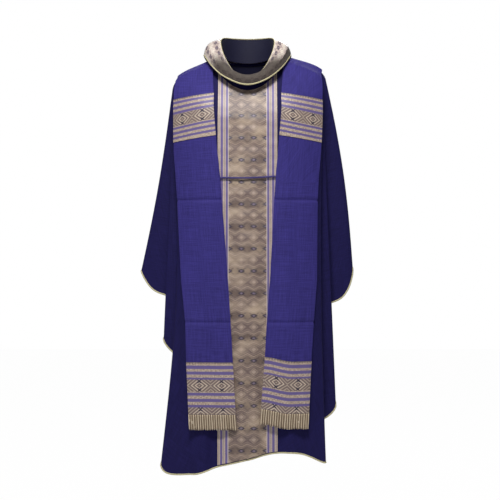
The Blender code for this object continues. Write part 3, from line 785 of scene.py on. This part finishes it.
def quarter(name, u0, u1, sign, side, nodes, mats):
    """One quarter of the cloth with its corded hem."""
    us = np.linspace(u0, u1, 115)
    vs = np.concatenate([np.linspace(0.02, TURN, 18)[:-1], np.linspace(TURN, 1.0, 80)])
    points = garment(us, vs)
    ob = cloth(name, points, CLOTH, mats["wool"])
    hem = points[-1]
    down = hem - points[-3]
    along = np.gradient(hem, axis=0)
    along /= np.linalg.norm(along, axis=1)[:, None]
    down -= along * np.sum(down * along, axis=1)[:, None]
    down /= np.linalg.norm(down, axis=1)[:, None]
    cordline = tube(name + "_piping", hem + down * PIPING_D * 0.42, PIPING_D / 2, mats["gold"], 8)
    flat = points.reshape(-1, 3)
    for piece, middle, replaced, slot in ((ob, np.concatenate([flat, flat]), nodes[0], "purple_wool"),
                                          (cordline, np.repeat(hem, 8, axis=0), nodes[1], "gold_cord")):
        bend(piece, middle, "chasuble", side, (0, 0, -0.12), (0, sign * 0.0703, -0.129))
        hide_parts(*replaced)
    return ob, points


def skin(grids):
    """One tree of the cloth, to lay trims on."""
    verts, faces = [], []
    for points in grids:
        first = len(verts)
        nr, nc = points.shape[:2]
        verts += [Vector(p) for p in points.reshape(-1, 3)]
        faces += [tuple(first + k for k in f) for f in grid_faces(nr, nc)]
    return BVHTree.FromPolygons(verts, faces)


def hit_from(tree, x, z, sign):
    """Where the line from in front (sign -1) or behind first meets the cloth, with the outward normal."""
    best = None
    for shift in (0.0, 0.0003):
        at, n, _, _ = tree.ray_cast(Vector((x + shift, sign, z)), Vector((0, -sign, 0)), 2.0)
        if at is not None and (best is None or at.y * sign > best[0].y * sign):
            best = at, n
    at, n = best
    if n.y * sign < 0:
        n = -n
    return np.array(at), np.array(n)


def softened(y, rows):
    """Smooth along the first axis, without going behind the given surface."""
    kernel = np.exp(-0.5 * (np.arange(-rows, rows + 1) / (rows / 2)) ** 2)
    kernel /= kernel.sum()

    def blur(a):
        wide = np.pad(a, ((rows, rows), (0, 0)), mode="edge")
        return np.stack([np.convolve(wide[:, j], kernel, mode="valid") for j in range(a.shape[1])], axis=1)

    smooth = blur(y)
    short = np.maximum(smooth - y, 0.0).max(axis=1, keepdims=True)
    wide = np.pad(short, ((rows, rows), (0, 0)), mode="edge")
    worst = np.array([[wide[i:i + 2 * rows + 1].max()] for i in range(len(y))])
    return smooth - blur(worst)


def puff(x, z):
    """Slight waves of a band between its stitches."""
    return 0.0010 * math.sin(92.0 * z + 9.0 * x) ** 2 + 0.0007 * math.sin(37.0 * z - 21.0 * x + 1.0) ** 2


def strip(tree, name, xs, top, bottom, sign, lift, material, rows=160):
    """A band sewn flat on the front or the back between two heights."""
    if sign > 0:
        xs = xs[::-1]
    grid, uv = [], []
    middle = (xs[0] + xs[-1]) / 2
    for t in np.linspace(0, 1, rows):
        row = []
        for x in xs:
            z = top(x) + (bottom(x) - top(x)) * t
            at, n = hit_from(tree, x, z, sign)
            row.append(at + n * (lift + puff(x, z)))
            uv.append((-sign * (x - middle), z))
        grid.append(row)
    return cloth(name, grid, TRIM, material, np.array(uv))


def orphrey(tree, hem, name, sign, mats):
    """Brocade column and its two striped braids, front or back."""
    order = np.argsort(hem[:, 0])
    hx, hz = hem[order, 0], hem[order, 2]
    x_out = ORPHREY + BRAID

    def bottom(x):
        return float(np.interp(x, hx, hz)) + 0.0025

    def top(x):
        if sign > 0:
            return -0.016 - 0.25 * abs(x)
        return -0.092 + 0.06 * (abs(x) / x_out) ** 2

    lift = CLOTH / 2 + TRIM / 2 + SEWN_GAP
    middle = strip(tree, name + "_brocade", np.linspace(-ORPHREY, ORPHREY, 25), top, bottom, sign,
                   lift, mats["orphrey"])
    pieces = [(middle, name + "_orphrey", "orphrey_brocade")]
    for side, sx in SIDES.items():
        xs = np.sort(sx * np.linspace(ORPHREY, x_out, 9))
        mat = mats["braid_out" if sx * sign > 0 else "braid_in"]
        band = strip(tree, f"{name}_{side}_braid", xs, top, bottom, sign, lift + SEWN_GAP, mat)
        pieces.append((band, f"{name}_orphrey_{side}_braid", "striped_braid"))
    for piece, node, slot in pieces:
        sew(piece, "chasuble", node)
    return [p[0] for p in pieces]


def full_ring(curve, t):
    """Both halves of a collar curve as one closed curve."""
    rows = [np.array(p) for p in curve] + [np.array((-p[0], p[1], p[2])) for p in curve[-2:0:-1]]
    return smooth_curve(np.array(rows), t, closed=True)


def collar(mats):
    """Soft roll collar with its lining, the corded edge and the band inside the neck."""
    ts = np.linspace(6, 18, 169)
    top, low, stand = full_ring(ROLL, ts), full_ring(FALL, ts), full_ring(STAND, ts)
    out = (low - top) * (1, 1, 0)
    out /= np.linalg.norm(out, axis=1)[:, None]
    bulge = out * 0.45 + np.array((0, 0, 0.65))
    soft = 0.0014 * np.sin(ts * 2.9 + 0.5) + 0.0010 * np.sin(ts * 5.3)
    rows = []
    for s in np.linspace(0, 1, 22):
        size = 0.022 * math.sin(math.pi * s) ** 0.8 + soft[:, None] * math.sin(math.pi * s * 0.8)
        rows.append(top + (low - top) * s + bulge * size)
    outer = np.array(rows)
    roll = cloth("collar_roll", outer, 0.0022, mats["collar"])
    inner = np.array([stand + (top - stand) * s * 0.96 for s in np.linspace(1, 0, 10)])
    inside = cloth("collar_inside", inner, 0.0010, mats["lining"])
    down = outer[-1] - outer[-2]
    down /= np.linalg.norm(down, axis=1)[:, None]
    brim = (outer[-1] + down * PIPING_D * 0.40)[:-1]
    edge = tube("collar_edge", brim, PIPING_D / 2, mats["gold"], 8, closed=True)
    lip = tube("collar_lip", outer[0, :-1] + (0, 0, 0.0006), 0.0014, mats["gold"], 6, closed=True)
    us = np.linspace(0, RING, 192, endpoint=False)
    band = drape(us, np.array((0.020, 0.034, 0.048, 0.062)))
    band = band - normals(band, True) * 0.0030
    facing = cloth("neck_band", band, 0.0010, mats["lining"], closed=True)
    for piece, node, slot in ((roll, "roll_collar", "collar_brocade"),
                              (inside, "collar_lining", "navy_lining"),
                              (edge, "collar_piping", "gold_cord"), (lip, "collar_piping", "gold_cord"),
                              (facing, "neck_facing", "navy_lining")):
        sew(piece, "chasuble", node)
    return roll, inside, facing


# ---------------------------------------------------------------- stole

def edges_at(side, z):
    """Inner and outer x of the stole at one height."""
    table = STOLE_EDGES[side]
    zs = [-r[0] for r in table]
    return tuple(SIDES[side] * float(np.interp(-z, zs, [r[k] for r in table])) for k in (1, 2))


def creases(z):
    """Shallow folds across the stole where it was once folded for storing."""
    return sum(0.0034 * np.exp(-((z - at) / 0.0050) ** 2) for at in (-0.445, -0.833))


class Fall:
    """The stole hanging in front of one side: a smooth surface laid on the cloth."""

    def __init__(self, tree, side):
        self.side = side
        self.zs = np.arange(-0.084, -1.225, -0.006)
        self.cols = 9
        ys = []
        for z in self.zs:
            inner, outer = edges_at(side, z)
            xs = np.linspace(inner, outer, self.cols)
            hs = z + self.slope(z) * np.abs(xs - inner)
            raw = np.array([hit_from(tree, x * 0.985, h, -1.0)[0][1] for x, h in zip(xs, hs)])
            fit = np.polyval(np.polyfit(xs, raw, 2), xs)
            ys.append(fit - max(0.0, float(np.max(fit - raw))))
        self.ys = softened(np.array(ys), 6)

    def slope(self, z):
        """How far a row drops from its inner to its outer edge."""
        return float(np.interp(-z, (-STOLE_TURN_Z, -TIE_Z), (-0.15, 0.0)))

    def row(self, z, s, lift):
        """Points at shares s across the stole, from the inner edge, lifted off the cloth."""
        inner, outer = edges_at(self.side, z)
        across = np.linspace(0, 1, self.cols)
        y = np.array([np.interp(-z, -self.zs, self.ys[:, j]) for j in range(self.cols)])
        bend = np.gradient(y, (outer - inner) * across)
        s = np.asarray(s)
        x = inner + (outer - inner) * s
        k = np.interp(s, across, bend)
        out = np.stack([k, -np.ones_like(k), np.zeros_like(k)], axis=1)
        out /= np.linalg.norm(out, axis=1)[:, None]
        h = z + self.slope(z) * np.abs(x - inner)
        soft = self.softness(z, s)
        points = np.stack([x, np.interp(s, across, y), h], axis=1)
        return points + out * (lift + soft - creases(h))[:, None]

    def softness(self, z, s):
        """Small waves in the lined cloth, forward only."""
        t = min(1.0, max(0.0, (-z - 0.16) / 0.5))
        phase = 0.0 if self.side == "left" else 1.7
        wave = np.sin(2 * math.pi * (1.35 * s + 0.30 * math.sin(4.0 * z + phase)) + phase + 2.0 * z)
        fine = np.sin(2 * math.pi * (2.9 * s - 0.2 * math.sin(7.0 * z)) + 1.1 + phase)
        return t * (0.0016 * (1 + wave) + 0.0006 * (1 + fine)) * np.sin(math.pi * np.clip(s, 0, 1)) ** 0.5


def wavy(side, s):
    """The right end of the stole hangs in a slight wave; the left one is level."""
    if side == "left":
        return 0.0 * s
    t = np.clip(s / 0.62, 0, 1)
    return 0.0050 - 0.0145 * t * t * (3 - 2 * t)


def part_of_fall(fall, name, zs, lift, thick, material, wave=None):
    """A length of the hanging stole, or a band on it."""
    s = np.linspace(0, 1, STOLE_COLUMNS)
    grid = []
    for z in zs:
        if wave is None:
            row = fall.row(z, s, lift)
        else:
            row = np.array([fall.row(z + d, [k], lift)[0] for k, d in zip(s, wave(s))])
        grid.append(row if fall.side == "right" else row[::-1])
    return cloth(name, grid, thick, material)


def over_row(tree, a, b, lift):
    """A row of the stole on the shoulder or round the back of the neck."""
    row = []
    for s in np.linspace(0, 1, STOLE_COLUMNS):
        p = Vector(a).lerp(Vector(b), s)
        away = (p - Vector((p.x * 0.5, 0.0, -0.15))).normalized()
        hit = tree.find_nearest(p + away * 0.03)[0]
        out = (p + away * 0.03 - hit).normalized()
        row.append(np.array(hit + out * lift))
    return np.array(row)


LIFT = CLOTH / 2 + 2 * TRIM + 0.0030 + STOLE / 2


def stole_yoke(tree, falls, mats):
    """The upper stole: both chests, the shoulders and the back of the neck, in one length."""
    s = np.linspace(0, 1, STOLE_COLUMNS)
    down = np.linspace(-0.090, TAIL_Z, 52)
    keys = np.array([[*a, *b] for a, b in STOLE_OVER])
    ts = np.linspace(1.0, len(keys) - 1, 60)
    over = smooth_curve(keys, ts)
    rows = [falls["right"].row(z, s, LIFT) for z in down[::-1]]
    rows += [over_row(tree, k[:3], k[3:], LIFT + 0.0012) for k in over]
    flip = np.array((-1, 1, 1, -1, 1, 1))
    rows += [over_row(tree, k[:3], k[3:], LIFT + 0.0012) for k in (over * flip)[-2::-1]]
    rows += [falls["left"].row(z, s, LIFT) for z in down]
    grid = np.array(rows)
    for _ in range(6):
        mid = (grid[:-2] + 2 * grid[1:-1] + grid[2:]) / 4
        keep = np.ones(len(grid) - 2)
        keep[:40] = 0.0
        keep[-40:] = 0.0
        grid[1:-1] += (mid - grid[1:-1]) * keep[:, None, None]
    ob = cloth("stole_yoke", grid[::-1], STOLE, mats["stole"])
    flat = grid[::-1].reshape(-1, 3)
    start, end = ((0, 0, z) for z in YOKE_BEND)
    bend(ob, np.concatenate([flat, flat]), "chasuble", "stole_front", start, end)
    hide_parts("stole_shoulders", "stole_left_middle", "stole_right_middle")
    return ob


def strands(fall, name, z0, mats):
    """Fringe: close twisted strands, each a little different."""
    rng = np.random.default_rng(7 if fall.side == "left" else 11)
    verts, middle, faces, uvs = [], [], [], []
    for i in range(STRANDS):
        s0 = (i + 0.5) / STRANDS
        lean = rng.uniform(-0.004, 0.004)
        near = 0.0007 * (i % 2) + rng.uniform(0, 0.0006)
        reach = FRINGE_H + rng.uniform(-0.0025, 0.0010)
        drop = wavy(fall.side, np.array(s0))
        first = len(verts)
        for k in range(STRAND_LEVELS):
            t = k / (STRAND_LEVELS - 1)
            s = min(1.0, max(0.0, s0 + lean * t + 0.0016 * math.sin(7 * t + i)))
            p = fall.row(z0 - 0.001 - reach * t + float(drop), [s], LIFT + STOLE / 2 + 0.0004 + near)[0]
            r = 0.00155 * (1.0 + 0.12 * math.sin(i * 1.7))
            for m in range(STRAND_SIDES):
                a = 2 * math.pi * m / STRAND_SIDES
                verts.append(p + np.array((math.cos(a) * r, math.sin(a) * r, 0.0)))
                middle.append(p)
                uvs.append((s0 * 0.149, -reach * t))
            if k:
                low = first + (k - 1) * STRAND_SIDES
                high = low + STRAND_SIDES
                turn = [(m, (m + 1) % STRAND_SIDES) for m in range(STRAND_SIDES)]
                faces += [(low + m, low + n, high + n, high + m) for m, n in turn]
        faces.append(tuple(first + m for m in range(STRAND_SIDES))[::-1])
        faces.append(tuple(first + (STRAND_LEVELS - 1) * STRAND_SIDES + m for m in range(STRAND_SIDES)))
    ob = mesh_object(name, verts, faces, uvs)
    ob.data.materials.append(mats["fringe"])
    top = z0 - (0.009 if fall.side == "right" else 0.0)
    bend(ob, middle, f"{fall.side}_tail", f"{fall.side}_fringe", (0, 0, top), (0, 0, top - 0.014))
    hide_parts(f"stole_{fall.side}_fringe")
    return ob


def stole_tail(fall, mats):
    """Lower stole of one side with its end band and fringe."""
    side = fall.side
    end = END_TOP[side] - END_H
    zs = np.linspace(TAIL_Z, end - 0.002, 230)
    tail = part_of_fall(fall, f"stole_{side}_drop", zs, LIFT, STOLE, mats["stole"])
    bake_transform(tail)
    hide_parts(f"stole_{side}_tail")
    on_top = LIFT + STOLE / 2 + TRIM / 2 + 0.0004
    band = part_of_fall(fall, f"{side}_end", np.linspace(END_TOP[side], end, 40), on_top, TRIM, mats["end"],
                        wave=lambda s: wavy(side, s))
    chest = part_of_fall(fall, f"{side}_chest", np.linspace(CHEST_TOP, CHEST_TOP - CHEST_H, 34), on_top, TRIM,
                         mats["chest"])
    hair = strands(fall, f"{side}_strands", end, mats)
    for piece, node, body in ((band, f"stole_{side}_end_band", f"{side}_tail"),
                              (chest, f"stole_{side}_chest_band", "chasuble")):
        sew(piece, body, node)
    return tail, band, chest, hair


def tie_cord(tree, mats):
    """Twisted cord between the inner edges of the stole, just below the chest."""
    a, b = edges_at("left", TIE_Z)[0], edges_at("right", TIE_Z)[0]
    path = []
    for t in np.linspace(0, 1, 90):
        x = a + (b - a) * t
        z = TIE_Z + 0.004 * t - 0.003 * math.sin(math.pi * t)
        path.append((x, z))
    ys = [min(hit_from(tree, x + d, z, -1.0)[0][1] for d in (-0.012, 0, 0.012)) for x, z in path]
    ys = softened(np.array(ys)[:, None], 8)[:, 0] - CLOTH / 2 - 2 * TRIM - 0.0026 - CORD_D / 2
    path = [(x, y, z) for (x, z), y in zip(path, ys)]
    ob = tube("tie_cord_twist", path, CORD_D / 2, mats["cord"], 12, twist=900.0, lay=0.07)
    sew(ob, "stole_front", "tie_cord")
    return ob


# ---------------------------------------------------------------- build

def materials():
    return {
        # The chasuble's wool is a darkened copy of the stole's wool: painted shade.
        "wool": wool("purple_wool", PURPLE_IN_SHADE, 0.02), "stole": wool("stole_wool", PURPLE, 0.06),
        "orphrey": orphrey_brocade(), "collar": collar_brocade(),
        "braid_out": striped_braid("striped_braid_a", 1.0),
        "braid_in": striped_braid("striped_braid_b", -1.0),
        "end": end_band(), "chest": chest_band(), "lining": lining(),
        "gold": cord_thread("gold_cord", (0.50, 0.44, 0.24), PALE_GOLD, 0.0028),
        "fringe": fringe_thread(),
        "cord": cord_thread("purple_cord", (0.016, 0.011, 0.070), (0.085, 0.065, 0.300), 0.0034, 0.7),
    }


def main():
    camera()
    studio()
    mats = materials()
    cloths, grids = {}, {}
    order = (("front", "right"), ("back", "right"), ("back", "left"), ("front", "left"))
    for k, (face, side) in enumerate(order):
        sign = 1 if face == "front" else -1
        u0 = k * QUARTER - (OVERLAP if k % 2 else 0.0)
        u1 = (k + 1) * QUARTER + (0.0 if k % 2 else OVERLAP)
        panels = f"{face}_panel", f"{side}_side_drape"
        pipings = f"{face}_hem_piping", f"{side}_side_piping"
        name = f"{face}_{side}"
        cloths[name], grids[name] = quarter(name, u0, u1, sign, f"{side}_side", (panels, pipings), mats)
    tree = skin(grids.values())
    front_hem = np.concatenate([grids["front_left"][-1, -30:], grids["front_right"][-1, :30]])
    back_hem = np.concatenate([grids["back_right"][-1, -30:], grids["back_left"][-1, :30]])
    front_trims = orphrey(tree, front_hem, "front", -1.0, mats)
    back_trims = orphrey(tree, back_hem, "back", 1.0, mats)
    tie_cord(tree, mats)
    collar_pieces = collar(mats)
    falls = {side: Fall(tree, side) for side in SIDES}
    yoke = stole_yoke(tree, falls, mats)
    tails = {side: stole_tail(falls[side], mats) for side in SIDES}


main()
